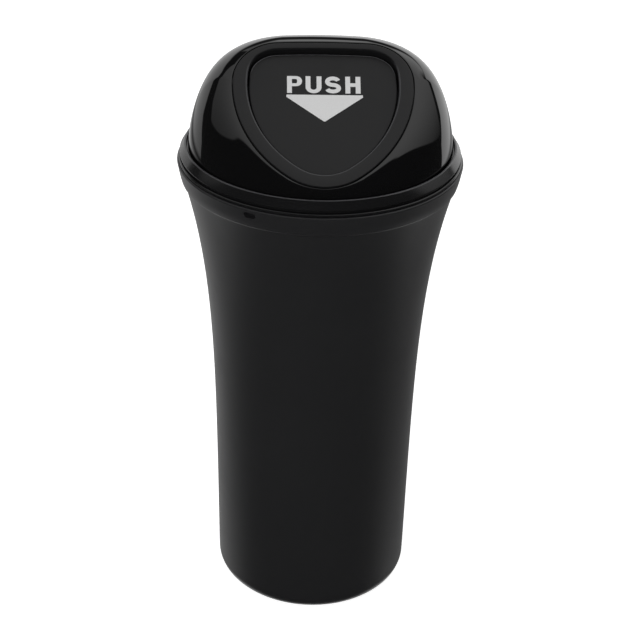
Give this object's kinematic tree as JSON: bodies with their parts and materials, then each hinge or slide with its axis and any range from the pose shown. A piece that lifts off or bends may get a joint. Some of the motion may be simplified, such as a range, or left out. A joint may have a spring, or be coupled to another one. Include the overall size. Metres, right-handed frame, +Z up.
{
  "type": "car trash bin",
  "caption": "Small round car waste bin: flared barrel, bag clamping ring and domed lid with a sprung push-in flap on its sloping face.",
  "frame": {"origin": "centre of the foot ring's bottom face, on the surface the bin stands on", "axes": "+Z up along the barrel's axis, -Y towards the side that the flap faces, +X to the right as seen from that side"},
  "size_m": [0.095, 0.095, 0.2047],
  "materials": {
    "satin_black": "satin moulded",
    "gloss_black": "high gloss",
    "matt_black": "fine matt grain",
    "matt_charcoal": "fine matt grain",
    "steel": "drawn wire"
  },
  "bodies": {
    "barrel": {"barrel": "satin_black", "bag_ring": "satin_black"},
    "lid": {"lid_collar": "satin_black", "lid_dome": "gloss_black", "flap_bezel": "matt_black", "hinge_pin": "steel", "return_spring": "steel"},
    "flap": {"flap": "matt_charcoal"}
  },
  "joints": [
    {"name": "lid_lift", "type": "slide", "parent": "barrel", "child": "lid", "axis": [0, 0, 1], "range_m": [0, 0.03]},
    {"name": "flap_swing", "type": "hinge", "parent": "lid", "child": "flap", "pos_m": [0, 0.00152, 0.19591], "axis": [1, 0, 0], "range_deg": [0, 65], "stiffness_Nm_per_rad": 0.004, "springref_deg": -34.38, "deforming": ["return_spring"]}
  ]
}
